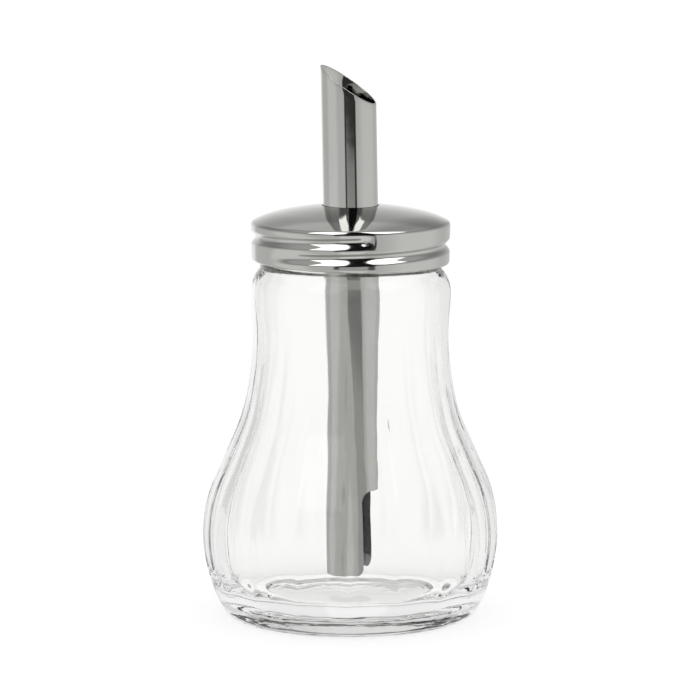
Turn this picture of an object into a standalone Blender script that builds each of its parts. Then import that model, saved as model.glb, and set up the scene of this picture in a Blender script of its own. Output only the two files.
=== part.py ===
"""Sugar dispenser: a fluted glass jar, a domed screw lid and the dosing tube through the lid.

It stands on the XY plane with its axis on Z. The front is towards -Y, and angles round the axis
are turned from the front towards +X.
"""

import math

import bmesh
import bpy
from mathutils import Matrix, Vector

MM = 0.001
SHARP_ANGLE = math.radians(35)

# Jar: the outside along the crests of its flutes, as radius and height
FOOT_OUTLINE = [(32.4, 0.0), (34.7, 0.8), (36.4, 3.0), (38.8, 8.2)]
BELLY_OUTLINE = [(41.1, 16.5), (41.9, 25.5), (40.2, 35.5), (35.7, 46.0)]
WAIST_OUTLINE = [(31.1, 57.0), (28.6, 68.5), (27.6, 80.0)]
SHOULDER_OUTLINE = [(28.1, 91.0), (27.4, 95.2), (25.3, 98.5)]
CURVE_STEPS = 2
JAR_WALL = 2.4 * MM
FLOOR_OUTLINE = [(35.9, 11.0), (31.5, 7.4), (24.0, 5.6), (12.0, 5.0)]
FLOOR_HEIGHT = 5.0 * MM
RECESS_DEPTH = 0.8 * MM
RECESS_RADIUS = 26.5 * MM
RECESS_EDGE = 1.0 * MM

# Flutes: near-flat panels between narrow rounded crests, fading towards the neck
FLUTES = 18
FLUTE_DEPTH_OF_RADIUS = 0.015
CREST_TURN = math.radians(-1.5)
CREST_ROUNDING = 0.12
FLUTE_FOOT = (6.0 * MM, 17.0 * MM)
FLUTE_TOP = (98.0 * MM, 45.0 * MM)
COLUMNS_PER_FLUTE = 3

# Neck, with the thread that the lid screws on
NECK_RADIUS = 25.3 * MM
NECK_BORE = 22.6 * MM
NECK_FOOT = 99.6 * MM
NECK_TOP = 111.6 * MM
NECK_ROUNDING = 0.8 * MM
NECK_RINGS = 10
THREAD_HEIGHT = 1.4 * MM
THREAD_HALF_WIDTH = 1.3 * MM
THREAD_START = math.radians(-90)
THREAD_END = math.radians(300)

# Lid: a low dome, a steeper slope round it, a rounded edge and a skirt with a rolled screw groove
LID_RADIUS = 27.9 * MM
LID_SHEET = 0.5 * MM
DOME_TOP = 116.2 * MM
DOME_RADIUS = 96.6 * MM
DOME_EDGE = math.radians(77.9)
SLOPE_RADIUS = 30.0 * MM
SLOPE_EDGE = math.radians(64)
SKIRT_DRAW_IN = 0.2 * MM
LID_RIM = 100.0 * MM
LID_RIM_SLOPE = 0.02
HEM_WIDTH = 1.0 * MM
HEM_HEIGHT = 1.7 * MM
LID_COLUMNS = 48
DOME_STEPS = 3
SLOPE_STEPS = 2
EDGE_STEPS = 4
HEM_STEPS = 3
SKIRT_STEPS = 12
INSIDE_STEPS = 9

# Screw groove: its middle height at the front, and where it starts and ends round the lid
SCREW_PITCH = 4.35 * MM
GROOVE_HEIGHT = 104.05 * MM
GROOVE_DEPTH = 1.1 * MM
GROOVE_HALF_WIDTH = 2.1 * MM
GROOVE_START = math.radians(-55)
GROOVE_END = math.radians(374)
RUN_IN = math.radians(28)
RUN_OUT = math.radians(9)

# Dosing tube: it leans a little, with its top towards -X, about the point where it passes the lid
TUBE_RADIUS = 7.7 * MM
TUBE_BORE = 7.25 * MM
TUBE_LEAN = math.radians(1.0)
TUBE_GAP = 0.3 * MM
TUBE_SIDES = 48
LEAN_HEIGHT = 115.8 * MM
TUBE_FOOT = 12.1 * MM
MOUTH_HEIGHT = 149.5 * MM
MOUTH_SLOPE = math.radians(35.5)
MOUTH_TURN = math.radians(-13)

# Scoop at the tube's foot: the wall is cut away on one side
SCOOP_TOP = 35.5 * MM
SCOOP_OFFSET = 2.3 * MM
SCOOP_TURN = math.radians(-14)
SCOOP_ROUNDING = 3.4 * MM
LIP_ROUNDING = 2.5 * MM
LIP_START = math.radians(-80)
CUTTER_REACH = 20.0 * MM
ARC_STEPS = 6


def clear_scene():
    for obj in list(bpy.data.objects):
        bpy.data.objects.remove(obj, do_unlink=True)


def material(name, color, roughness, metallic, transmission=0.0):
    made = bpy.data.materials.new(name)
    made.use_nodes = True
    shader = made.node_tree.nodes["Principled BSDF"]
    shader.inputs["Base Color"].default_value = (*color, 1.0)
    shader.inputs["Roughness"].default_value = roughness
    shader.inputs["Metallic"].default_value = metallic
    shader.inputs["Transmission Weight"].default_value = transmission
    made.diffuse_color = (*color, 1.0)
    return made


def add_object(name, mesh, finish):
    mesh.materials.append(finish)
    obj = bpy.data.objects.new(name, mesh)
    bpy.context.scene.collection.objects.link(obj)
    return obj


def smooth_step(value, low, high):
    """0 at low, 1 at high, and an even S between them. High may be less than low."""
    t = min(max((value - low) / (high - low), 0.0), 1.0)
    return t * t * (3 - 2 * t)


def bump(offset, half_width):
    """A rounded rise: 1 in the middle, 0 from half_width away."""
    t = min(abs(offset) / half_width, 1.0)
    return 0.5 + 0.5 * math.cos(math.pi * t)


def curve_through(points, steps):
    """A smooth curve through these points, with this many steps from each to the next."""
    path = [Vector(point) for point in points]
    path = [2 * path[0] - path[1], *path, 2 * path[-1] - path[-2]]
    curve = []
    for before, start, end, after in zip(path, path[1:], path[2:], path[3:]):
        for step in range(steps):
            t = step / steps
            bend = 2 * before - 5 * start + 4 * end - after
            twist = 3 * start - before - 3 * end + after
            curve.append(start + (t * (end - before) + t * t * bend + t**3 * twist) / 2)
    curve.append(path[-2])
    return [(radius, height) for radius, height in curve]


def arc(center, radius, start, end, steps):
    """Points of an arc round center, with both angles from +radius towards +height."""
    angles = [start + (end - start) * step / steps for step in range(steps + 1)]
    return [(center[0] + radius * math.cos(a), center[1] + radius * math.sin(a)) for a in angles]


def in_metres(points):
    return [(radius * MM, height * MM) for radius, height in points]


def on_turn(radius, turn, height):
    return Vector((radius * math.sin(turn), -radius * math.cos(turn), height))


def lofted_mesh(name, rings, poles, looped=False):
    """Rings of points joined into one skin, which ends at two pole points or is looped."""
    shape = bmesh.new()
    made = [[shape.verts.new(point) for point in ring] for ring in rings]
    pairs = list(zip(made, made[1:]))
    if looped:
        pairs.append((made[-1], made[0]))
    for ring, following in pairs:
        for i in range(len(ring)):
            shape.faces.new((ring[i - 1], ring[i], following[i], following[i - 1]))
    for pole, ring in zip(poles, (made[0], made[-1])):
        tip = shape.verts.new(pole)
        for i in range(len(ring)):
            shape.faces.new((ring[i - 1], ring[i], tip))
    bmesh.ops.recalc_face_normals(shape, faces=shape.faces)
    mesh = bpy.data.meshes.new(name)
    shape.to_mesh(mesh)
    shape.free()
    mesh.shade_smooth()
    mesh.set_sharp_from_angle(angle=SHARP_ANGLE)
    return mesh


def panel(turn):
    """How far a flute is below its crests at this turn: 0 on a crest, 1 in the middle of a panel."""
    half_pitch = math.pi / FLUTES
    from_crest = abs((turn - CREST_TURN + half_pitch) % (2 * half_pitch) - half_pitch) / half_pitch
    flat = math.hypot(1.0, CREST_ROUNDING) - CREST_ROUNDING
    rounded = (math.hypot(from_crest, CREST_ROUNDING) - CREST_ROUNDING) / flat
    return 1 - (1 - rounded) ** 2


def on_screw(turn, height, start, end, half_width):
    """How much of a screw's rise lies here: a helix at GROOVE_HEIGHT in front, with faded ends."""
    most = 0.0
    for run in (turn - 2 * math.pi, turn, turn + 2 * math.pi):
        middle = GROOVE_HEIGHT + SCREW_PITCH * run / (2 * math.pi)
        faded = smooth_step(run, start, start + RUN_IN) * smooth_step(run, end, end - RUN_OUT)
        most = max(most, faded * bump(height - middle, half_width))
    return most


def jar_point(radius, turn, height):
    """A point of the jar's fluted outside, where radius is the crests'."""
    fluted = smooth_step(height, *FLUTE_FOOT) * smooth_step(height, *FLUTE_TOP)
    return on_turn(radius * (1 - FLUTE_DEPTH_OF_RADIUS * fluted * panel(turn)), turn, height)


def neck_point(radius, turn, height):
    """A point of the neck's outside, with the thread half a pitch above the lid's groove."""
    below = height - SCREW_PITCH / 2
    rise = THREAD_HEIGHT * on_screw(turn, below, THREAD_START, THREAD_END, THREAD_HALF_WIDTH)
    return on_turn(radius + rise, turn, height)


def jar_inside():
    """The jar's inside from the neck's bore down to the floor: the outside less its flutes and its wall."""
    outside = in_metres(BELLY_OUTLINE + WAIST_OUTLINE + SHOULDER_OUTLINE[:2])
    wall = [(radius * (1 - FLUTE_DEPTH_OF_RADIUS) - JAR_WALL, height) for radius, height in outside]
    return [(NECK_BORE, NECK_FOOT), *reversed(wall), *in_metres(FLOOR_OUTLINE)]


def jar_rings():
    """The jar's rings of points, from the middle of its underside, up its outside and down its inside."""
    columns = FLUTES * COLUMNS_PER_FLUTE
    turns = [CREST_TURN + 2 * math.pi * i / columns for i in range(columns)]
    knots = FOOT_OUTLINE + BELLY_OUTLINE + WAIST_OUTLINE + SHOULDER_OUTLINE
    outline = in_metres(curve_through(knots, CURVE_STEPS))
    neck_end = NECK_TOP - NECK_ROUNDING
    neck_step = (neck_end - NECK_FOOT) / NECK_RINGS
    neck = [(NECK_RADIUS, NECK_FOOT + neck_step * i) for i in range(NECK_RINGS + 1)]
    rim = [
        (NECK_RADIUS - NECK_ROUNDING, NECK_TOP),
        (NECK_BORE + NECK_ROUNDING, NECK_TOP),
        (NECK_BORE, neck_end),
    ]
    recess = [(RECESS_RADIUS, RECESS_DEPTH), (RECESS_RADIUS + RECESS_EDGE, 0.0)]
    rings = [[on_turn(radius, turn, height) for turn in turns] for radius, height in recess]
    rings += [[jar_point(radius, turn, height) for turn in turns] for radius, height in outline]
    rings += [[neck_point(radius, turn, height) for turn in turns] for radius, height in neck]
    rings += [[on_turn(radius, turn, height) for turn in turns] for radius, height in rim + jar_inside()]
    return rings


def make_jar():
    poles = (Vector((0, 0, RECESS_DEPTH)), Vector((0, 0, FLOOR_HEIGHT)))
    mesh = lofted_mesh("jar", jar_rings(), poles)
    return add_object("jar", mesh, material("jar_glass", (0.93, 0.95, 0.94), 0.02, 0.0, 1.0))


def dome_arcs(sheet):
    """The lid's line from its hole to its skirt, at this depth under its outside: dome, slope and edge."""
    dome_top, slope_top = ((math.cos(a), math.sin(a)) for a in (DOME_EDGE, SLOPE_EDGE))
    dome_middle = (0.0, DOME_TOP - DOME_RADIUS)
    to_slope = DOME_RADIUS - SLOPE_RADIUS
    slope_middle = (to_slope * dome_top[0], dome_middle[1] + to_slope * dome_top[1])
    edge_radius = (LID_RADIUS - slope_middle[0] - SLOPE_RADIUS * slope_top[0]) / (1 - slope_top[0])
    to_edge = SLOPE_RADIUS - edge_radius
    edge_middle = (slope_middle[0] + to_edge * slope_top[0], slope_middle[1] + to_edge * slope_top[1])
    hole = math.acos((TUBE_RADIUS + TUBE_GAP) / (DOME_RADIUS - sheet))
    dome = arc(dome_middle, DOME_RADIUS - sheet, hole, DOME_EDGE, DOME_STEPS)
    slope = arc(slope_middle, SLOPE_RADIUS - sheet, DOME_EDGE, SLOPE_EDGE, SLOPE_STEPS)
    edge = arc(edge_middle, edge_radius - sheet, SLOPE_EDGE, 0.0, EDGE_STEPS)
    return dome + slope[1:] + edge[1:]


def skirt_point(radius, turn, height):
    """A point of the skirt: pressed in along the groove, and lower at its edge on the +X side."""
    groove = GROOVE_DEPTH * on_screw(turn, height, GROOVE_START, GROOVE_END, GROOVE_HALF_WIDTH)
    lowered = LID_RIM_SLOPE * radius * math.sin(turn) * smooth_step(height, GROOVE_HEIGHT, LID_RIM)
    return on_turn(radius - groove, turn, height - lowered)


def skirt_line(top, bottom, steps):
    """Points down the skirt, not counting the first."""
    points = []
    for step in range(1, steps + 1):
        t = step / steps
        points.append((top[0] + t * (bottom[0] - top[0]), top[1] + t * (bottom[1] - top[1])))
    return points


def lid_rings():
    """The lid's rings of points: its outside from the hole to the hem, then its inside back to the hole."""
    turns = [2 * math.pi * i / LID_COLUMNS for i in range(LID_COLUMNS)]
    outside = dome_arcs(0.0)
    inside = dome_arcs(LID_SHEET)
    hem_radius = LID_RADIUS - SKIRT_DRAW_IN
    hem_middle = (hem_radius - HEM_WIDTH, LID_RIM + HEM_WIDTH)
    hem = arc(hem_middle, HEM_WIDTH, 0.0, math.radians(-90), HEM_STEPS)
    hem.append((hem_middle[0] - HEM_WIDTH / 4, LID_RIM + HEM_WIDTH / 2))
    hem.append((hem_middle[0], LID_RIM + HEM_HEIGHT - LID_SHEET))
    skirt = skirt_line(outside[-1], hem[0], SKIRT_STEPS)
    inner_foot = (hem_radius - LID_SHEET, LID_RIM + HEM_HEIGHT)
    inner_skirt = [inner_foot, *reversed(skirt_line(inside[-1], inner_foot, INSIDE_STEPS)[:-1])]
    line = outside + skirt + hem[1:] + inner_skirt + inside[::-1]
    return [[skirt_point(radius, turn, height) for turn in turns] for radius, height in line]


def make_lid():
    mesh = lofted_mesh("lid", lid_rings(), (), looped=True)
    return add_object("lid", mesh, material("lid_steel", (0.70, 0.70, 0.67), 0.12, 1.0))


def tube_frame():
    """Places what is made round an upright axis, at its real heights, on the leaning tube."""
    pivot = Matrix.Translation((0, 0, LEAN_HEIGHT))
    return pivot @ Matrix.Rotation(-TUBE_LEAN, 4, "Y") @ pivot.inverted()


def pipe_mesh():
    """The uncut tube, square at both ends, from its foot to above its mouth."""
    turns = [2 * math.pi * i / TUBE_SIDES for i in range(TUBE_SIDES)]
    top = MOUTH_HEIGHT + CUTTER_REACH
    corners = [(TUBE_RADIUS, TUBE_FOOT), (TUBE_RADIUS, top), (TUBE_BORE, top), (TUBE_BORE, TUBE_FOOT)]
    rings = [[on_turn(radius, turn, height) for turn in turns] for radius, height in corners]
    return lofted_mesh("tube", rings, (), looped=True)


def prism_cutter(name, outline, turn):
    """A cutter: this outline in the plane of X and Z, drawn out along Y both ways and turned about Z."""
    shape = bmesh.new()
    near = [shape.verts.new((x, -CUTTER_REACH, z)) for x, z in outline]
    far = [shape.verts.new((x, CUTTER_REACH, z)) for x, z in outline]
    shape.faces.new(near)
    shape.faces.new(far)
    for i in range(len(outline)):
        shape.faces.new((near[i - 1], near[i], far[i], far[i - 1]))
    bmesh.ops.recalc_face_normals(shape, faces=shape.faces)
    mesh = bpy.data.meshes.new(name)
    shape.to_mesh(mesh)
    shape.free()
    cutter = bpy.data.objects.new(name, mesh)
    bpy.context.scene.collection.objects.link(cutter)
    cutter.matrix_world = tube_frame() @ Matrix.Rotation(turn, 4, "Z")
    cutter.hide_render = True
    cutter.display_type = "WIRE"
    return cutter


def mouth_cutter():
    """All that is above the sloping mouth."""
    rise = CUTTER_REACH * math.tan(MOUTH_SLOPE)
    top = MOUTH_HEIGHT + 2 * CUTTER_REACH
    outline = [(-CUTTER_REACH, MOUTH_HEIGHT + rise), (CUTTER_REACH, MOUTH_HEIGHT - rise)]
    outline += [(CUTTER_REACH, top), (-CUTTER_REACH, top)]
    return prism_cutter("mouth_cutter", outline, MOUTH_TURN)


def scoop_cutter():
    """What is cut away at the tube's foot: up to a rounded corner, with the lip's corners rounded too."""
    below = TUBE_FOOT - CUTTER_REACH
    lip_middle = (SCOOP_OFFSET - LIP_ROUNDING, TUBE_FOOT + LIP_ROUNDING)
    lip = arc(lip_middle, LIP_ROUNDING, LIP_START, 0.0, ARC_STEPS)
    corner_middle = (SCOOP_OFFSET + SCOOP_ROUNDING, SCOOP_TOP - SCOOP_ROUNDING)
    corner = arc(corner_middle, SCOOP_ROUNDING, math.radians(180), math.radians(90), ARC_STEPS)
    outline = [(lip[0][0], below), *lip, *corner, (CUTTER_REACH, SCOOP_TOP), (CUTTER_REACH, below)]
    return prism_cutter("scoop_cutter", outline, SCOOP_TURN)


def make_tube():
    tube = add_object("tube", pipe_mesh(), material("tube_steel", (0.68, 0.68, 0.65), 0.12, 1.0))
    tube.matrix_world = tube_frame()
    for cutter in (mouth_cutter(), scoop_cutter()):
        cut = tube.modifiers.new(cutter.name, "BOOLEAN")
        cut.operation = "DIFFERENCE"
        cut.solver = "EXACT"
        cut.object = cutter
    return tube


clear_scene()
make_jar()
make_lid()
make_tube()
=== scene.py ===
"""Sugar dispenser in a plain studio: fluted glass jar, steel screw lid and steel dosing tube.

Lengths are in metres. Turns are angles round the jar's axis from the front, -Y, towards +X.
"""

import math

import bmesh
import bpy
from mathutils import Matrix, Vector


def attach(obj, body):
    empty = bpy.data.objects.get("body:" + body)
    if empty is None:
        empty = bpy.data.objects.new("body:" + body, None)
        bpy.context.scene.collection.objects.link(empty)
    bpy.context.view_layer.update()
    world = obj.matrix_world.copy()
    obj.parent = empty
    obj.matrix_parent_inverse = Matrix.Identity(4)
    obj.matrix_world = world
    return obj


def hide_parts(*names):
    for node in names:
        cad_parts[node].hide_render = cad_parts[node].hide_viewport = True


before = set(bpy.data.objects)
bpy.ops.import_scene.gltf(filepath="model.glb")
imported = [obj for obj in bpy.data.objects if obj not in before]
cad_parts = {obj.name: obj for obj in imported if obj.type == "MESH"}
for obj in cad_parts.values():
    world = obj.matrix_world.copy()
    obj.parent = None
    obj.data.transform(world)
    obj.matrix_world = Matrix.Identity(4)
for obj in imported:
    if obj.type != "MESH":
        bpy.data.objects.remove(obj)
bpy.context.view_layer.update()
MM = 0.001
QUARTER = math.radians(90)
SHARP_ANGLE = math.radians(40)

# Jar: the outside along the crests of its flutes, as radius and height
FOOT_OUTLINE = [(32.4, 0.0), (34.7, 0.8), (36.4, 3.0), (38.8, 8.2)]
BELLY_OUTLINE = [(41.1, 16.5), (41.9, 25.5), (40.2, 35.5), (35.7, 46.0)]
WAIST_OUTLINE = [(31.1, 57.0), (28.6, 68.5), (27.6, 80.0)]
SHOULDER_OUTLINE = [(28.1, 91.0), (27.4, 95.2), (25.3, 98.5)]
OUTSIDE_STEPS = 8
INSIDE_STEPS = 6
JAR_WALL = 2.4 * MM
FLOOR_OUTLINE = [(35.9, 11.0), (31.5, 7.4), (24.0, 5.6), (12.0, 5.0)]
FLOOR_HEIGHT = 5.0 * MM
RECESS_DEPTH = 0.8 * MM
RECESS_RADIUS = 26.5 * MM
RECESS_EDGE = 1.0 * MM
RECESS_STEPS = 3

# Flutes: near-flat panels between narrow rounded crests, fading towards the neck
FLUTES = 18
FLUTE_DEPTH_OF_RADIUS = 0.015
CREST_TURN = math.radians(-1.5)
CREST_ROUNDING = 0.12
FLUTE_FOOT = (6.0 * MM, 17.0 * MM)
FLUTE_TOP = (98.0 * MM, 45.0 * MM)
COLUMNS_PER_FLUTE = 16
CLOSER_AT_CRESTS = 0.75

# Neck, with the thread that the lid screws on
NECK_RADIUS = 25.3 * MM
NECK_BORE = 22.6 * MM
NECK_FOOT = 99.6 * MM
NECK_TOP = 111.6 * MM
NECK_ROUNDING = 0.8 * MM
NECK_RINGS = 40
NECK_EDGE_STEPS = 5
BORE_STEPS = 6
THREAD_HEIGHT = 1.4 * MM
THREAD_HALF_WIDTH = 1.3 * MM
THREAD_START = math.radians(-90)
THREAD_END = math.radians(300)

# Lid: a low dome, a steeper slope round it, a rounded edge and a skirt with a rolled screw groove
LID_RADIUS = 27.9 * MM
LID_SHEET = 0.5 * MM
DOME_TOP = 116.2 * MM
DOME_RADIUS = 96.6 * MM
DOME_EDGE = math.radians(77.9)
SLOPE_RADIUS = 30.0 * MM
SLOPE_EDGE = math.radians(64)
SKIRT_DRAW_IN = 0.2 * MM
LID_RIM = 100.0 * MM
LID_RIM_SLOPE = 0.02
HEM_WIDTH = 1.0 * MM
HEM_HEIGHT = 1.7 * MM
LID_COLUMNS = 240
DOME_STEPS = 20
SLOPE_STEPS = 12
EDGE_STEPS = 16
HEM_STEPS = 8
SKIRT_STEPS = 64
LID_INSIDE_STEPS = 40

# Screw groove: its middle height at the front, and where it starts and ends round the lid
SCREW_PITCH = 4.35 * MM
GROOVE_HEIGHT = 104.05 * MM
GROOVE_DEPTH = 1.1 * MM
GROOVE_HALF_WIDTH = 2.1 * MM
GROOVE_START = math.radians(-55)
GROOVE_END = math.radians(374)
RUN_IN = math.radians(28)
RUN_OUT = math.radians(9)

# Dosing tube: it leans a little, with its top towards -X, about the point where it passes the lid
TUBE_RADIUS = 7.7 * MM
TUBE_BORE = 7.25 * MM
TUBE_LEAN = math.radians(1.0)
TUBE_GAP = 0.3 * MM
TUBE_SIDES = 144
TUBE_RINGS = 80
LEAN_HEIGHT = 115.8 * MM
TUBE_FOOT = 12.1 * MM
MOUTH_HEIGHT = 149.5 * MM
MOUTH_SLOPE = math.radians(35.5)
MOUTH_TURN = math.radians(-13)
RIM_ROUNDING = 0.16 * MM
RIM_STEPS = 4

# Scoop at the tube's foot: the wall is cut away on one side
SCOOP_TOP = 35.5 * MM
SCOOP_OFFSET = 2.3 * MM
SCOOP_TURN = math.radians(-14)
SCOOP_ROUNDING = 3.4 * MM
LIP_ROUNDING = 2.5 * MM
LIP_START = math.radians(-80)
CUTTER_REACH = 20.0 * MM
ARC_STEPS = 16

# Camera at the photo's viewing angle
CAMERA_PLACE = (0.0, -1.05, 0.233)
CAMERA_AIM = (0.0, 0.0, 0.075)
CAMERA_LENS = 194.9
CAMERA_SENSOR = 36.0
CAMERA_NEAREST = 0.01
CAMERA_SHIFT = -0.0007

# Glass and steel. Each noise is its scale, its detail and for some its roughness, and each relief is
# its depth and its strength. A span is the part of a noise that is used.
GLASS_DARKER = (0.958, 0.96, 0.952, 1.0)
GLASS_LIGHTER = (0.974, 0.976, 0.97, 1.0)
GLASS_PLAIN = (0.93, 0.95, 0.94, 0.3)
GLASS_HAZE = 0.03
HAZE = (55.0, 4.0, 0.6)
HAZE_SPAN = (0.45, 0.75)
WAVES_STRETCH = (1.0, 1.0, 0.12)
WAVES = (120.0, 2.0)
WAVES_RELIEF = (0.5 * MM, 0.4)
RIPPLES = (420.0, 1.0)
RIPPLES_RELIEF = (0.05 * MM, 0.1)
GLASS_IOR = 1.5
GLASS_SHINE = 0.3
STEEL_DARKER = (0.535, 0.533395, 0.510925, 1.0)
STEEL_LIGHTER = (0.575, 0.575, 0.554875, 1.0)
STEEL_PLAIN = (0.7, 0.7, 0.67, 1.0)
STEEL_ROUGHNESS = (0.045, 0.085)
STEEL_CLOUD = (70.0, 3.0)
STEEL_CLOUD_SPAN = (0.3, 0.75)
STEEL_WAVES = (130.0, 1.0)
STEEL_WAVES_RELIEF = (0.1 * MM, 0.12)
MARKS_ROUGHNESS = 0.05
MARKS_SPAN = (0.55, 0.8)
MARKS_RELIEF = (0.002 * MM, 0.35)
TURNED_MARKS = (60.0, 3.0, 0.7)
TURNED_MARKS_ACROSS = 60.0
TURNED_MARKS_ROUND = 0.25
DRAWN_MARKS = (5200.0, 3.0, 0.7)
DRAWN_MARKS_STRETCH = (1.0, 1.0, 0.012)
# Grey of the painted shade on the tube's inside, low down at the scoop
SCOOP_PAINTED_SHADE = 0.24

# Studio: turns and elevations are in degrees, and white is 1
WHITE = 1.1
GLOW = 0.8
TABLE_WHITE = 0.3
TABLE_CLOUD = 0.01
TABLE_NOISE = (4.0, 2.0)
CLEAR_GREY = 0.85
WALL_GREY = 0.69
PANEL_GREY = 0.87
LEFT_PANEL = (-98.0, -52.0)
LEFT_PANEL_SOFT = 20.0
RIGHT_PANEL = (48.0, 118.0)
RIGHT_PANEL_SOFT = 36.0
WHITE_BEHIND = (170.0, 217.0)
WHITE_SOFT = 14.0
CLEAR_PITCH = 45.0
CLEAR_EDGES = (7.0, 20.0)
DARK_FRONT = (-19.0, 28.0)
DARK_FRONT_RISE = (-14.0, 12.0)
GREY_MIDDLE = (-13.0, 20.0)
DARK_ABOVE = (-7.0, 30.0)
DARK_ABOVE_RISE = (6.0, 100.0)
SHADE = (-48.0, 52.0)
SHADE_SOFT = 14.0
SHADE_RISE = (9.0, 27.0)
SHADE_RISE_SOFT = 6.0
MIDDLE_SOFT = 6.0
LOW_MIDDLE_RISE = (-5.7, -5.2)
DIMMING_RISE = (-6.0, 30.0)
DIMMING = (1.2, 0.55)
TOP_RISE = (33.0, 42.0)
TOP_GAIN = 0.2
DARK = 0.05
BLACK = 0.012
SHADE_GREY = 0.2
MIDDLE_GREY = 0.34
# Depths of a ray that tell a reflection, one inside the glass's wall, and one past two whole walls
REFLECTED = 0.5
ONE_WALL = 0.5
TWO_WALLS = 3.5
INSIDE_GREY = 0.9
INSIDE_SHARE = 0.75
BEHIND_LEAST = 0.56
STRIPE = (-20.0, 38.0)
STRIPE_SOFT = 10.0
STRIPE_GREY = 0.5
STRIPE_FAR_GREY = 0.27
STRIPE_FADE = (0.38, 0.62)
LIGHT = 3.2
LIGHT_INSIDE = 1.0
# Each softbox: turn, elevation, roll, and half its width and its span upwards as tangents
LEFT_BOX = (-32.0, 50.0, 11.0, 0.295, (-0.4, 0.53))
RIGHT_BOX = (52.0, 52.0, -20.0, 0.27, (-0.36, 0.5))
BOX_SOFT_ACROSS = 0.06
BOX_SOFT_UP = 0.09
TABLE_SIDE = 1.0
TABLE_FRONT = 1.35
TABLE_BACK = 3.4
BACKDROP_RADIUS = 8.0
BACKDROP_END = math.radians(80)
BACKDROP_COLUMNS = 48
BACKDROP_RINGS = 16
# Painted shadow on the table in front, towards the camera: the reach over which it comes in
FRONT_SHADOW_REACH = (0.45, 0.65)
FRONT_SOFT = 4.0
NEAR_REACH = (0.1, 0.4)
NEAR_GREY = (0.95, 0.55)
FAR_LOSS = -0.2
LOW_MIDDLE_SOFT = 3.0
CLEAR_FROM = (0.06, 0.16)


def smooth_step(value, low, high):
    """0 at low, 1 at high, and an even S between them. High may be less than low."""
    t = min(max((value - low) / (high - low), 0.0), 1.0)
    return t * t * (3 - 2 * t)


def bump(offset, half_width):
    """A rounded rise: 1 in the middle, 0 from half_width away."""
    t = min(abs(offset) / half_width, 1.0)
    return 0.5 + 0.5 * math.cos(math.pi * t)


def curve_through(points, steps):
    """A smooth curve through these points, with this many steps from each to the next."""
    path = [Vector(point) for point in points]
    path = [2 * path[0] - path[1], *path, 2 * path[-1] - path[-2]]
    curve = []
    for before, start, end, after in zip(path, path[1:], path[2:], path[3:]):
        for step in range(steps):
            t = step / steps
            bend = 2 * before - 5 * start + 4 * end - after
            twist = 3 * start - before - 3 * end + after
            curve.append(start + (t * (end - before) + t * t * bend + t**3 * twist) / 2)
    curve.append(path[-2])
    return [(radius, height) for radius, height in curve]


def arc(center, radius, start, end, steps):
    """Points of an arc round center, with both angles from +radius towards +height."""
    angles = [start + (end - start) * step / steps for step in range(steps + 1)]
    return [(center[0] + radius * math.cos(a), center[1] + radius * math.sin(a)) for a in angles]


def straight(start, end, steps):
    """Points of a straight line, not counting the first."""
    shares = [step / steps for step in range(1, steps + 1)]
    return [(start[0] + t * (end[0] - start[0]), start[1] + t * (end[1] - start[1])) for t in shares]


def in_metres(points):
    return [(radius * MM, height * MM) for radius, height in points]


def on_turn(radius, turn, height):
    return Vector((radius * math.sin(turn), -radius * math.cos(turn), height))


def lofted_mesh(name, rings, poles, looped=False):
    """Rings of points joined into one skin, which ends at two pole points or is looped."""
    shape = bmesh.new()
    made = [[shape.verts.new(point) for point in ring] for ring in rings]
    pairs = list(zip(made, made[1:]))
    if looped:
        pairs.append((made[-1], made[0]))
    for ring, following in pairs:
        for i in range(len(ring)):
            shape.faces.new((ring[i - 1], ring[i], following[i], following[i - 1]))
    for pole, ring in zip(poles, (made[0], made[-1])):
        tip = shape.verts.new(pole)
        for i in range(len(ring)):
            shape.faces.new((ring[i - 1], ring[i], tip))
    bmesh.ops.recalc_face_normals(shape, faces=shape.faces)
    mesh = bpy.data.meshes.new(name)
    shape.to_mesh(mesh)
    shape.free()
    mesh.shade_smooth()
    mesh.set_sharp_from_angle(angle=SHARP_ANGLE)
    return mesh


def add_piece(name, mesh, finish, node):
    """A piece of the object that stands for a CAD node."""
    mesh.materials.append(finish)
    piece = bpy.data.objects.new(name, mesh)
    bpy.context.scene.collection.objects.link(piece)
    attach(piece, "root")
    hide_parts(node)
    return piece


def panel(turn):
    """How far a flute is below its crests at this turn: 0 on a crest, 1 in the middle of a panel."""
    half_pitch = math.pi / FLUTES
    from_crest = abs((turn - CREST_TURN + half_pitch) % (2 * half_pitch) - half_pitch) / half_pitch
    flat = math.hypot(1.0, CREST_ROUNDING) - CREST_ROUNDING
    rounded = (math.hypot(from_crest, CREST_ROUNDING) - CREST_ROUNDING) / flat
    return 1 - (1 - rounded) ** 2


def on_screw(turn, height, start, end, half_width):
    """How much of a screw's rise lies here: a helix at GROOVE_HEIGHT in front, with faded ends."""
    most = 0.0
    for run in (turn - 2 * math.pi, turn, turn + 2 * math.pi):
        middle = GROOVE_HEIGHT + SCREW_PITCH * run / (2 * math.pi)
        faded = smooth_step(run, start, start + RUN_IN) * smooth_step(run, end, end - RUN_OUT)
        most = max(most, faded * bump(height - middle, half_width))
    return most


def jar_ring(radius, height, turns, panels):
    """A ring of the jar's fluted outside, where radius is the crests'."""
    depth = FLUTE_DEPTH_OF_RADIUS * smooth_step(height, *FLUTE_FOOT) * smooth_step(height, *FLUTE_TOP)
    return [on_turn(radius * (1 - depth * low), turn, height) for turn, low in zip(turns, panels)]


def neck_ring(radius, height, turns):
    """A ring of the neck's outside, with the thread half a pitch above the lid's groove."""
    below = height - SCREW_PITCH / 2
    ring = []
    for turn in turns:
        rise = THREAD_HEIGHT * on_screw(turn, below, THREAD_START, THREAD_END, THREAD_HALF_WIDTH)
        ring.append(on_turn(radius + rise, turn, height))
    return ring


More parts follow.
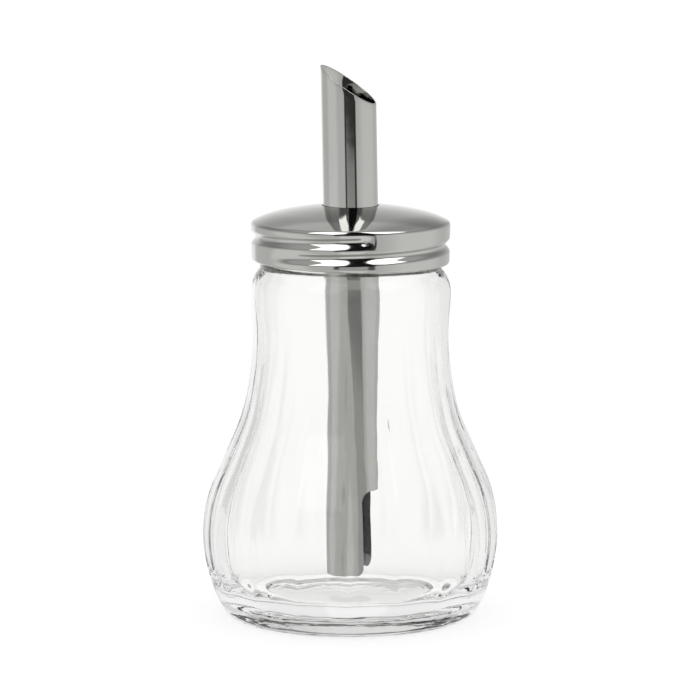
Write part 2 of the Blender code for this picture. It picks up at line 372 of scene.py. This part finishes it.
def jar_inside():
    """The jar's inside from the neck's bore down to the floor: the outside less its wall."""
    knots = BELLY_OUTLINE + WAIST_OUTLINE + SHOULDER_OUTLINE[:2]
    inner = 1 - FLUTE_DEPTH_OF_RADIUS
    wall = [(radius * inner - JAR_WALL / MM, height) for radius, height in knots]
    line = [(NECK_BORE / MM, NECK_FOOT / MM), *reversed(wall), *FLOOR_OUTLINE]
    return in_metres(curve_through(line, INSIDE_STEPS))


def jar_rings():
    """The jar's rings of points, from the middle of its underside, up its outside and down its inside."""
    steps = [2 * math.pi * step / COLUMNS_PER_FLUTE for step in range(COLUMNS_PER_FLUTE)]
    offsets = [(step - CLOSER_AT_CRESTS * math.sin(step)) / FLUTES for step in steps]
    crests = [CREST_TURN + 2 * math.pi * flute / FLUTES for flute in range(FLUTES)]
    turns = [crest + offset for crest in crests for offset in offsets]
    panels = [panel(turn) for turn in turns]
    knots = FOOT_OUTLINE + BELLY_OUTLINE + WAIST_OUTLINE + SHOULDER_OUTLINE
    outline = in_metres(curve_through(knots, OUTSIDE_STEPS))
    neck_end = NECK_TOP - NECK_ROUNDING
    neck_start = (NECK_RADIUS, NECK_FOOT)
    neck = [neck_start, *straight(neck_start, (NECK_RADIUS, neck_end), NECK_RINGS)]
    outer_middle = (NECK_RADIUS - NECK_ROUNDING, neck_end)
    inner_middle = (NECK_BORE + NECK_ROUNDING, neck_end)
    outer_edge = arc(outer_middle, NECK_ROUNDING, 0.0, QUARTER, NECK_EDGE_STEPS)
    inner_edge = arc(inner_middle, NECK_ROUNDING, QUARTER, math.pi, NECK_EDGE_STEPS)
    bore = straight(inner_edge[-1], (NECK_BORE, NECK_FOOT), BORE_STEPS)[:-1]
    plain = outer_edge[1:] + inner_edge + bore + jar_inside()
    recess = [(RECESS_RADIUS / 2, RECESS_DEPTH), (RECESS_RADIUS, RECESS_DEPTH)]
    recess += straight(recess[-1], (RECESS_RADIUS + RECESS_EDGE, 0.0), RECESS_STEPS)
    rings = [[on_turn(radius, turn, height) for turn in turns] for radius, height in recess]
    rings += [jar_ring(radius, height, turns, panels) for radius, height in outline]
    rings += [neck_ring(radius, height, turns) for radius, height in neck]
    rings += [[on_turn(radius, turn, height) for turn in turns] for radius, height in plain]
    return rings


def dome_arcs(sheet):
    """The lid's line from its hole to its skirt, at this depth under its outside: dome, slope and edge."""
    dome_top, slope_top = ((math.cos(a), math.sin(a)) for a in (DOME_EDGE, SLOPE_EDGE))
    dome_middle = (0.0, DOME_TOP - DOME_RADIUS)
    to_slope = DOME_RADIUS - SLOPE_RADIUS
    slope_middle = (to_slope * dome_top[0], dome_middle[1] + to_slope * dome_top[1])
    edge_radius = (LID_RADIUS - slope_middle[0] - SLOPE_RADIUS * slope_top[0]) / (1 - slope_top[0])
    to_edge = SLOPE_RADIUS - edge_radius
    edge_middle = (slope_middle[0] + to_edge * slope_top[0], slope_middle[1] + to_edge * slope_top[1])
    hole = math.acos((TUBE_RADIUS + TUBE_GAP) / (DOME_RADIUS - sheet))
    dome = arc(dome_middle, DOME_RADIUS - sheet, hole, DOME_EDGE, DOME_STEPS)
    slope = arc(slope_middle, SLOPE_RADIUS - sheet, DOME_EDGE, SLOPE_EDGE, SLOPE_STEPS)
    edge = arc(edge_middle, edge_radius - sheet, SLOPE_EDGE, 0.0, EDGE_STEPS)
    return dome + slope[1:] + edge[1:]


def skirt_point(radius, turn, height):
    """A point of the skirt: pressed in along the groove, and lower at its edge on the +X side."""
    groove = GROOVE_DEPTH * on_screw(turn, height, GROOVE_START, GROOVE_END, GROOVE_HALF_WIDTH)
    lowered = LID_RIM_SLOPE * radius * math.sin(turn) * smooth_step(height, GROOVE_HEIGHT, LID_RIM)
    return on_turn(radius - groove, turn, height - lowered)


def lid_rings():
    """The lid's rings of points: its outside from the hole to the hem, then its inside back to the hole."""
    turns = [2 * math.pi * i / LID_COLUMNS for i in range(LID_COLUMNS)]
    outside = dome_arcs(0.0)
    inside = dome_arcs(LID_SHEET)
    hem_radius = LID_RADIUS - SKIRT_DRAW_IN
    hem_middle = (hem_radius - HEM_WIDTH, LID_RIM + HEM_WIDTH)
    hem = arc(hem_middle, HEM_WIDTH, 0.0, -QUARTER, HEM_STEPS)
    hem.append((hem_middle[0] - HEM_WIDTH / 4, LID_RIM + HEM_WIDTH / 2))
    hem.append((hem_middle[0], LID_RIM + HEM_HEIGHT - LID_SHEET))
    skirt = straight(outside[-1], hem[0], SKIRT_STEPS)
    inner_foot = (hem_radius - LID_SHEET, LID_RIM + HEM_HEIGHT)
    inner_skirt = [inner_foot, *reversed(straight(inside[-1], inner_foot, LID_INSIDE_STEPS)[:-1])]
    line = outside + skirt + hem[1:] + inner_skirt + inside[::-1]
    return [[skirt_point(radius, turn, height) for turn in turns] for radius, height in line]


def tube_frame():
    """Places what is made round an upright axis, at its real heights, on the leaning tube."""
    pivot = Matrix.Translation((0, 0, LEAN_HEIGHT))
    return pivot @ Matrix.Rotation(-TUBE_LEAN, 4, "Y") @ pivot.inverted()


def mouth_height(radius, turn):
    """Where the sloping mouth cuts the tube's wall, at this radius and turn."""
    return MOUTH_HEIGHT - radius * math.sin(turn - MOUTH_TURN) * math.tan(MOUTH_SLOPE)


def pipe_mesh():
    """The tube with its sloping mouth and rounded rim, still square at its foot."""
    turns = [2 * math.pi * i / TUBE_SIDES for i in range(TUBE_SIDES)]
    outer_middle = (TUBE_RADIUS - RIM_ROUNDING, -RIM_ROUNDING)
    inner_middle = (TUBE_BORE + RIM_ROUNDING, -RIM_ROUNDING)
    edge = arc(outer_middle, RIM_ROUNDING, 0.0, QUARTER, RIM_STEPS)
    edge += arc(inner_middle, RIM_ROUNDING, QUARTER, math.pi, RIM_STEPS)
    rises = [step / TUBE_RINGS for step in range(TUBE_RINGS)]

    def ring(radius, depth, rise=1.0):
        points = []
        for turn in turns:
            height = TUBE_FOOT + rise * (mouth_height(radius, turn) + depth - TUBE_FOOT)
            points.append(on_turn(radius, turn, height))
        return points

    rings = [ring(TUBE_RADIUS, -RIM_ROUNDING, rise) for rise in rises]
    rings += [ring(radius, depth) for radius, depth in edge]
    rings += [ring(TUBE_BORE, -RIM_ROUNDING, rise) for rise in reversed(rises)]
    return lofted_mesh("tube_pipe", rings, (), looped=True)


def prism_cutter(name, outline, turn):
    """A cutter: this outline in the plane of X and Z, drawn out along Y both ways and turned about Z."""
    shape = bmesh.new()
    near = [shape.verts.new((x, -CUTTER_REACH, z)) for x, z in outline]
    far = [shape.verts.new((x, CUTTER_REACH, z)) for x, z in outline]
    shape.faces.new(near)
    shape.faces.new(far)
    for i in range(len(outline)):
        shape.faces.new((near[i - 1], near[i], far[i], far[i - 1]))
    bmesh.ops.recalc_face_normals(shape, faces=shape.faces)
    mesh = bpy.data.meshes.new(name)
    shape.to_mesh(mesh)
    shape.free()
    cutter = bpy.data.objects.new(name, mesh)
    bpy.context.scene.collection.objects.link(cutter)
    cutter.matrix_world = Matrix.Rotation(turn, 4, "Z")
    return cutter


def scoop_cutter():
    """What is cut away at the tube's foot: up to a rounded corner, with the lip's corners rounded too."""
    below = TUBE_FOOT - CUTTER_REACH
    lip_middle = (SCOOP_OFFSET - LIP_ROUNDING, TUBE_FOOT + LIP_ROUNDING)
    lip = arc(lip_middle, LIP_ROUNDING, LIP_START, 0.0, ARC_STEPS)
    corner_middle = (SCOOP_OFFSET + SCOOP_ROUNDING, SCOOP_TOP - SCOOP_ROUNDING)
    corner = arc(corner_middle, SCOOP_ROUNDING, math.pi, QUARTER, ARC_STEPS)
    outline = [(lip[0][0], below), *lip, *corner, (CUTTER_REACH, SCOOP_TOP), (CUTTER_REACH, below)]
    return prism_cutter("scoop_cutter", outline, SCOOP_TURN)


def tube_mesh():
    """The tube with its mouth and its scoop, leaning."""
    pipe = bpy.data.objects.new("tube_pipe", pipe_mesh())
    bpy.context.scene.collection.objects.link(pipe)
    cutter = scoop_cutter()
    cut = pipe.modifiers.new("scoop", "BOOLEAN")
    cut.operation = "DIFFERENCE"
    cut.solver = "EXACT"
    cut.object = cutter
    seen = bpy.context.evaluated_depsgraph_get()
    mesh = bpy.data.meshes.new_from_object(pipe.evaluated_get(seen))
    mesh.name = "dosing_tube"
    for scratch in (pipe, cutter):
        bpy.data.objects.remove(scratch, do_unlink=True)
    mesh.transform(tube_frame())
    mesh.shade_smooth()
    mesh.set_sharp_from_angle(angle=SHARP_ANGLE)
    return mesh


class Nodes:
    """A material's or a world's node tree, with short ways to add to it."""

    def __init__(self, owner):
        owner.use_nodes = True
        self.tree = owner.node_tree
        self.tree.nodes.clear()

    def add(self, kind, **settings):
        node = self.tree.nodes.new(kind)
        for name, value in settings.items():
            setattr(node, name, value)
        return node

    def put(self, socket, value):
        """Links an output to a socket, or sets the socket's own number."""
        if isinstance(value, bpy.types.NodeSocket):
            self.tree.links.new(value, socket)
        else:
            socket.default_value = value

    def math(self, operation, *values):
        node = self.add("ShaderNodeMath", operation=operation)
        for socket, value in zip(node.inputs, values):
            self.put(socket, value)
        return node.outputs[0]

    def spread(self, value, low, high, to_low, to_high):
        """Value from low to high taken smoothly to to_low to to_high."""
        node = self.add("ShaderNodeMapRange", interpolation_type="SMOOTHSTEP")
        names = ("Value", "From Min", "From Max", "To Min", "To Max")
        for name, given in zip(names, (value, low, high, to_low, to_high)):
            self.put(node.inputs[name], given)
        return node.outputs["Result"]

    def blend(self, share, first, second):
        """A colour from first at share 0 to second at share 1."""
        node = self.add("ShaderNodeMix", data_type="RGBA")
        self.put(node.inputs["Factor"], share)
        self.put(node.inputs[6], first)
        self.put(node.inputs[7], second)
        return node.outputs[2]

    def noise(self, place, scale, detail, roughness=0.5):
        node = self.add("ShaderNodeTexNoise")
        self.put(node.inputs["Vector"], place)
        node.inputs["Scale"].default_value = scale
        node.inputs["Detail"].default_value = detail
        node.inputs["Roughness"].default_value = roughness
        return node.outputs["Fac"]

    def stretched(self, place, factors):
        node = self.add("ShaderNodeMapping")
        self.put(node.inputs["Vector"], place)
        node.inputs["Scale"].default_value = factors
        return node.outputs["Vector"]

    def dot(self, vector, fixed):
        node = self.add("ShaderNodeVectorMath", operation="DOT_PRODUCT")
        self.put(node.inputs[0], vector)
        node.inputs[1].default_value = fixed
        return node.outputs["Value"]

    def turn_of(self, x, y):
        """The turn of a place or direction in degrees, from the front towards +X."""
        angle = self.math("ARCTAN2", x, self.math("MULTIPLY", y, -1.0))
        return self.math("MULTIPLY", angle, math.degrees(1.0))

    def parted(self, place):
        """The x, y and z of a place or direction."""
        node = self.add("ShaderNodeSeparateXYZ")
        self.put(node.inputs[0], place)
        return node.outputs

    def length(self, x, y):
        """How far out from the upright axis a place is."""
        squares = self.math("ADD", self.math("MULTIPLY", x, x), self.math("MULTIPLY", y, y))
        return self.math("SQRT", squares)

    def within(self, value, span, soft):
        """1 inside the span and 0 outside it, over soft edges."""
        rising = self.spread(value, span[0] - soft / 2, span[0] + soft / 2, 0.0, 1.0)
        falling = self.spread(value, span[1] - soft / 2, span[1] + soft / 2, 1.0, 0.0)
        return self.math("MULTIPLY", rising, falling)

    def over(self, under, level, *shares):
        """This level laid over what is under it, by the product of the shares."""
        share = shares[0]
        for more in shares[1:]:
            share = self.math("MULTIPLY", share, more)
        kept = self.math("MULTIPLY", under, self.math("SUBTRACT", 1.0, share))
        return self.math("ADD", kept, self.math("MULTIPLY", level, share))

    def relief(self, height, distance, strength, under=None):
        node = self.add("ShaderNodeBump")
        self.put(node.inputs["Height"], height)
        node.inputs["Distance"].default_value = distance
        node.inputs["Strength"].default_value = strength
        if under is not None:
            self.put(node.inputs["Normal"], under)
        return node.outputs["Normal"]


def grey(level):
    return (level, level, level, 1.0)


def glass_material():
    """Clear pressed glass: faint waves along the flutes, and a little haze where it is handled."""
    made = bpy.data.materials.new("jar_glass")
    nodes = Nodes(made)
    place = nodes.add("ShaderNodeTexCoord").outputs["Object"]
    shader = nodes.add("ShaderNodeBsdfPrincipled")
    waves = nodes.noise(nodes.stretched(place, WAVES_STRETCH), *WAVES)
    ripples = nodes.noise(place, *RIPPLES)
    haze = nodes.noise(place, *HAZE)
    wavy = nodes.relief(waves, *WAVES_RELIEF)
    normal = nodes.relief(ripples, *RIPPLES_RELIEF, wavy)
    tint = nodes.blend(haze, GLASS_DARKER, GLASS_LIGHTER)
    nodes.put(shader.inputs["Base Color"], tint)
    nodes.put(shader.inputs["Roughness"], nodes.spread(haze, *HAZE_SPAN, 0.0, GLASS_HAZE))
    nodes.put(shader.inputs["Normal"], normal)
    shader.inputs["Transmission Weight"].default_value = 1.0
    shader.inputs["IOR"].default_value = GLASS_IOR
    shader.inputs["Specular Tint"].default_value = grey(GLASS_SHINE)
    output = nodes.add("ShaderNodeOutputMaterial")
    nodes.put(output.inputs["Surface"], shader.outputs["BSDF"])
    made.diffuse_color = GLASS_PLAIN
    return made


def steel_material(name, turned):
    """Polished stainless steel. A turned piece has its polishing marks round the axis, a tube along it. The
    tube also has painted shade, a darker colour on its inside low down at the scoop.
    """
    made = bpy.data.materials.new(name)
    nodes = Nodes(made)
    place = nodes.add("ShaderNodeTexCoord").outputs["Object"]
    shader = nodes.add("ShaderNodeBsdfPrincipled")
    x, y, z = nodes.parted(place)
    if turned:
        turn = nodes.math("ARCTAN2", x, y)
        marks_place = nodes.add("ShaderNodeCombineXYZ")
        nodes.put(marks_place.inputs[0], nodes.math("MULTIPLY", nodes.length(x, y), TURNED_MARKS_ACROSS))
        nodes.put(marks_place.inputs[1], nodes.math("MULTIPLY", z, TURNED_MARKS_ACROSS))
        nodes.put(marks_place.inputs[2], nodes.math("MULTIPLY", turn, TURNED_MARKS_ROUND))
        marks = nodes.noise(marks_place.outputs[0], *TURNED_MARKS)
    else:
        marks = nodes.noise(nodes.stretched(place, DRAWN_MARKS_STRETCH), *DRAWN_MARKS)
    cloud = nodes.noise(place, *STEEL_CLOUD)
    waves = nodes.noise(place, *STEEL_WAVES)
    tone = nodes.blend(cloud, STEEL_DARKER, STEEL_LIGHTER)
    # Painted shade: the tube's inside, below the scoop's top, is darkened to a grey as if shade falls in it
    if not turned:
        lean = nodes.math("MULTIPLY", nodes.math("SUBTRACT", LEAN_HEIGHT, z), math.tan(TUBE_LEAN))
        radius = nodes.length(nodes.math("SUBTRACT", x, lean), y)
        inner = nodes.math("LESS_THAN", radius, (TUBE_RADIUS + TUBE_BORE) / 2)
        low = nodes.spread(z, SCOOP_TOP, SCOOP_TOP + TUBE_RADIUS, 1.0, 0.0)
        tone = nodes.blend(nodes.math("MULTIPLY", inner, low), tone, grey(SCOOP_PAINTED_SHADE))
    nodes.put(shader.inputs["Base Color"], tone)
    polish = nodes.spread(cloud, *STEEL_CLOUD_SPAN, *STEEL_ROUGHNESS)
    marked = nodes.spread(marks, *MARKS_SPAN, 0.0, MARKS_ROUGHNESS)
    nodes.put(shader.inputs["Roughness"], nodes.math("ADD", polish, marked))
    wavy = nodes.relief(waves, *STEEL_WAVES_RELIEF)
    nodes.put(shader.inputs["Normal"], nodes.relief(marks, *MARKS_RELIEF, wavy))
    shader.inputs["Metallic"].default_value = 1.0
    output = nodes.add("ShaderNodeOutputMaterial")
    nodes.put(output.inputs["Surface"], shader.outputs["BSDF"])
    made.diffuse_color = STEEL_PLAIN
    return made


def low_studio(nodes, turn):
    """The studio near the horizon, as steel shows it: grey, lighter at both sides and white behind."""
    level = nodes.over(WALL_GREY, PANEL_GREY, nodes.within(turn, LEFT_PANEL, LEFT_PANEL_SOFT))
    level = nodes.over(level, PANEL_GREY, nodes.within(turn, RIGHT_PANEL, RIGHT_PANEL_SOFT))
    all_round = nodes.math("WRAP", turn, 360.0, 0.0)
    return nodes.over(level, WHITE, nodes.within(all_round, WHITE_BEHIND, WHITE_SOFT))


def clear_studio(nodes, turn):
    """The studio through clear glass: white along eight ways, and light grey between them."""
    off = nodes.math("ABSOLUTE", nodes.math("WRAP", turn, CLEAR_PITCH / 2, -CLEAR_PITCH / 2))
    return nodes.spread(off, *CLEAR_EDGES, 1.0, CLEAR_GREY)


def evened_inside(nodes, level, turn, path, stripe):
    """The studio that steel shows, more even in the glass's own walls and softer on the tube behind them."""
    inside = nodes.math("GREATER_THAN", path["Transmission Depth"], ONE_WALL)
    behind = nodes.math("GREATER_THAN", path["Transmission Depth"], TWO_WALLS)
    softer = nodes.math("MAXIMUM", level, BEHIND_LEAST)
    softer = nodes.over(softer, stripe, nodes.within(turn, STRIPE, STRIPE_SOFT))
    level = nodes.over(level, softer, behind)
    in_wall = nodes.math("SUBTRACT", inside, behind)
    return nodes.over(level, INSIDE_GREY, in_wall, INSIDE_SHARE)


def floor_material():
    """White table with a little glow of its own, which shows grey in the steel and, as a painted shadow,
    dark in front towards the camera.
    """
    made = bpy.data.materials.new("white_table")
    nodes = Nodes(made)
    place = nodes.add("ShaderNodeTexCoord").outputs["Object"]
    x, y, z = nodes.parted(place)
    turn = nodes.turn_of(x, y)
    reach = nodes.length(x, y)
    path = nodes.add("ShaderNodeLightPath").outputs

    # Painted shadow: in front, towards the camera, the table is dark to reflections, with a lighter grey
    # middle near the object
    front = nodes.within(turn, DARK_FRONT, FRONT_SOFT)
    far = nodes.spread(reach, *FRONT_SHADOW_REACH, 0.0, 1.0)
    level = nodes.over(low_studio(nodes, turn), DARK, front, far)
    near = nodes.spread(reach, *NEAR_REACH, *NEAR_GREY)
    farther = nodes.spread(reach, NEAR_REACH[1], TABLE_FRONT, 0.0, FAR_LOSS)
    middle = nodes.math("ADD", near, farther)
    level = nodes.over(level, middle, nodes.within(turn, GREY_MIDDLE, LOW_MIDDLE_SOFT))
    stripe = nodes.spread(reach, *STRIPE_FADE, STRIPE_GREY, STRIPE_FAR_GREY)
    level = evened_inside(nodes, level, turn, path, stripe)
    shown = nodes.add("ShaderNodeEmission")
    nodes.put(shown.inputs["Strength"], level)

    glow = nodes.add("ShaderNodeEmission")
    clear = nodes.over(1.0, clear_studio(nodes, turn), nodes.spread(reach, *CLEAR_FROM, 0.0, 1.0))
    clear = nodes.over(clear, 1.0, path["Is Camera Ray"])
    nodes.put(glow.inputs["Strength"], nodes.math("MULTIPLY", clear, GLOW))
    matt = nodes.add("ShaderNodeBsdfDiffuse")
    cloud = nodes.noise(place, *TABLE_NOISE)
    whites = (grey(TABLE_WHITE - TABLE_CLOUD), grey(TABLE_WHITE + TABLE_CLOUD))
    nodes.put(matt.inputs["Color"], nodes.blend(cloud, *whites))
    plain = nodes.add("ShaderNodeAddShader")
    nodes.put(plain.inputs[0], glow.outputs[0])
    nodes.put(plain.inputs[1], matt.outputs[0])

    mixed = nodes.add("ShaderNodeMixShader")
    nodes.put(mixed.inputs[0], nodes.math("GREATER_THAN", path["Glossy Depth"], REFLECTED))
    nodes.put(mixed.inputs[1], plain.outputs[0])
    nodes.put(mixed.inputs[2], shown.outputs[0])
    output = nodes.add("ShaderNodeOutputMaterial")
    nodes.put(output.inputs["Surface"], mixed.outputs[0])
    return made


def make_floor():
    """A plain table top: it ends in front and at the sides, where reflections see past it."""
    mesh = bpy.data.meshes.new("table")
    front = [(-TABLE_SIDE, -TABLE_FRONT, 0.0), (TABLE_SIDE, -TABLE_FRONT, 0.0)]
    back = [(TABLE_SIDE, TABLE_BACK, 0.0), (-TABLE_SIDE, TABLE_BACK, 0.0)]
    mesh.from_pydata(front + back, [], [(0, 1, 2, 3)])
    mesh.materials.append(floor_material())
    floor = bpy.data.objects.new("table", mesh)
    bpy.context.scene.collection.objects.link(floor)


def make_backdrop():
    """A round white backdrop far behind everything, which only the camera sees."""
    made = bpy.data.materials.new("white_backdrop")
    nodes = Nodes(made)
    glow = nodes.add("ShaderNodeEmission")
    glow.inputs["Strength"].default_value = WHITE
    output = nodes.add("ShaderNodeOutputMaterial")
    nodes.put(output.inputs["Surface"], glow.outputs[0])
    made.cycles.emission_sampling = "NONE"

    turns = [2 * math.pi * i / BACKDROP_COLUMNS for i in range(BACKDROP_COLUMNS)]
    line = arc((0.0, 0.0), BACKDROP_RADIUS, -BACKDROP_END, BACKDROP_END, BACKDROP_RINGS)
    rings = [[on_turn(radius, turn, height) for turn in turns] for radius, height in line]
    poles = (Vector((0, 0, -BACKDROP_RADIUS)), Vector((0, 0, BACKDROP_RADIUS)))
    mesh = lofted_mesh("backdrop", rings, poles)
    mesh.materials.append(made)
    backdrop = bpy.data.objects.new("backdrop", mesh)
    bpy.context.scene.collection.objects.link(backdrop)
    for sense in ("diffuse", "glossy", "transmission", "shadow", "volume_scatter"):
        setattr(backdrop, "visible_" + sense, False)


def softbox(nodes, way, turn, rise, roll, half_width, span):
    """1 where a direction meets a panel of light set square to this turn and elevation."""
    facing = Matrix.Rotation(math.radians(turn), 3, "Z")
    facing = facing @ Matrix.Rotation(math.radians(-rise), 3, "X")
    facing = facing @ Matrix.Rotation(math.radians(roll), 3, "Y")
    out = nodes.dot(way, facing @ Vector((0, -1, 0)))
    across = nodes.math("DIVIDE", nodes.dot(way, facing @ Vector((1, 0, 0))), out)
    up = nodes.math("DIVIDE", nodes.dot(way, facing @ Vector((0, 0, 1))), out)
    wide = nodes.within(across, (-half_width, half_width), BOX_SOFT_ACROSS)
    high = nodes.within(up, span, BOX_SOFT_UP)
    return nodes.math("MULTIPLY", nodes.math("MULTIPLY", wide, high), nodes.math("GREATER_THAN", out, 0.0))


def make_world():
    """White to the camera, and for reflections a grey studio with two softboxes and a dark front."""
    world = bpy.data.worlds.new("studio")
    bpy.context.scene.world = world
    nodes = Nodes(world)
    way = nodes.add("ShaderNodeTexCoord").outputs["Generated"]
    x, y, z = nodes.parted(way)
    turn = nodes.turn_of(x, y)
    rise = nodes.math("MULTIPLY", nodes.math("ARCSINE", z), math.degrees(1.0))
    path = nodes.add("ShaderNodeLightPath").outputs

    def region(level, shown, turns, turn_soft, rises, rise_soft):
        """This grey laid over the level between two turns and two elevations."""
        share = nodes.within(turn, turns, turn_soft)
        return nodes.over(level, shown, share, nodes.within(rise, rises, rise_soft))

    dimmer = nodes.spread(rise, *DIMMING_RISE, *DIMMING)
    upper = nodes.math("ADD", dimmer, nodes.spread(rise, *TOP_RISE, 0.0, TOP_GAIN))
    level = nodes.math("MULTIPLY", low_studio(nodes, turn), upper)
    level = region(level, SHADE_GREY, SHADE, SHADE_SOFT, SHADE_RISE, SHADE_RISE_SOFT)
    inside = nodes.math("GREATER_THAN", path["Transmission Depth"], ONE_WALL)
    light = nodes.math("ADD", LIGHT, nodes.math("MULTIPLY", inside, LIGHT_INSIDE - LIGHT))
    for box in (LEFT_BOX, RIGHT_BOX):
        level = nodes.over(level, light, softbox(nodes, way, *box))
    level = region(level, DARK, DARK_FRONT, FRONT_SOFT, DARK_FRONT_RISE, FRONT_SOFT)
    low_middle = nodes.spread(rise, *LOW_MIDDLE_RISE, 1.0, 0.0)
    level = nodes.over(level, MIDDLE_GREY, nodes.within(turn, GREY_MIDDLE, MIDDLE_SOFT), low_middle)
    level = region(level, BLACK, DARK_ABOVE, MIDDLE_SOFT, DARK_ABOVE_RISE, FRONT_SOFT)
    level = evened_inside(nodes, level, turn, path, STRIPE_FAR_GREY)

    clear = nodes.math("MULTIPLY", clear_studio(nodes, turn), WHITE)
    clear = nodes.over(clear, WHITE, path["Is Camera Ray"])
    level = nodes.over(clear, level, nodes.math("GREATER_THAN", path["Glossy Depth"], REFLECTED))
    background = nodes.add("ShaderNodeBackground")
    nodes.put(background.inputs["Strength"], level)
    output = nodes.add("ShaderNodeOutputWorld")
    nodes.put(output.inputs["Surface"], background.outputs[0])


def make_camera():
    data = bpy.data.cameras.new("camera")
    data.lens = CAMERA_LENS
    data.sensor_width = CAMERA_SENSOR
    data.shift_x = CAMERA_SHIFT
    data.clip_start = CAMERA_NEAREST
    camera = bpy.data.objects.new("camera", data)
    camera.location = CAMERA_PLACE
    camera.rotation_mode = "QUATERNION"
    sight = Vector(CAMERA_AIM) - Vector(CAMERA_PLACE)
    camera.rotation_quaternion = sight.to_track_quat("-Z", "Y")
    bpy.context.scene.collection.objects.link(camera)
    bpy.context.scene.camera = camera


def set_looks():
    scene = bpy.context.scene
    scene.view_settings.view_transform = "Standard"
    scene.view_settings.look = "None"
    scene.cycles.max_bounces = 40
    scene.cycles.transmission_bounces = 32
    scene.cycles.glossy_bounces = 20
    scene.cycles.diffuse_bounces = 2


poles = (Vector((0, 0, RECESS_DEPTH)), Vector((0, 0, FLOOR_HEIGHT)))
jar_mesh = lofted_mesh("glass_jar", jar_rings(), poles)
lid_mesh = lofted_mesh("steel_lid", lid_rings(), (), looped=True)
add_piece("glass_jar", jar_mesh, glass_material(), "jar")
add_piece("steel_lid", lid_mesh, steel_material("lid_steel", True), "lid")
add_piece("dosing_tube", tube_mesh(), steel_material("tube_steel", False), "tube")
make_floor()
make_backdrop()
make_world()
make_camera()
set_looks()
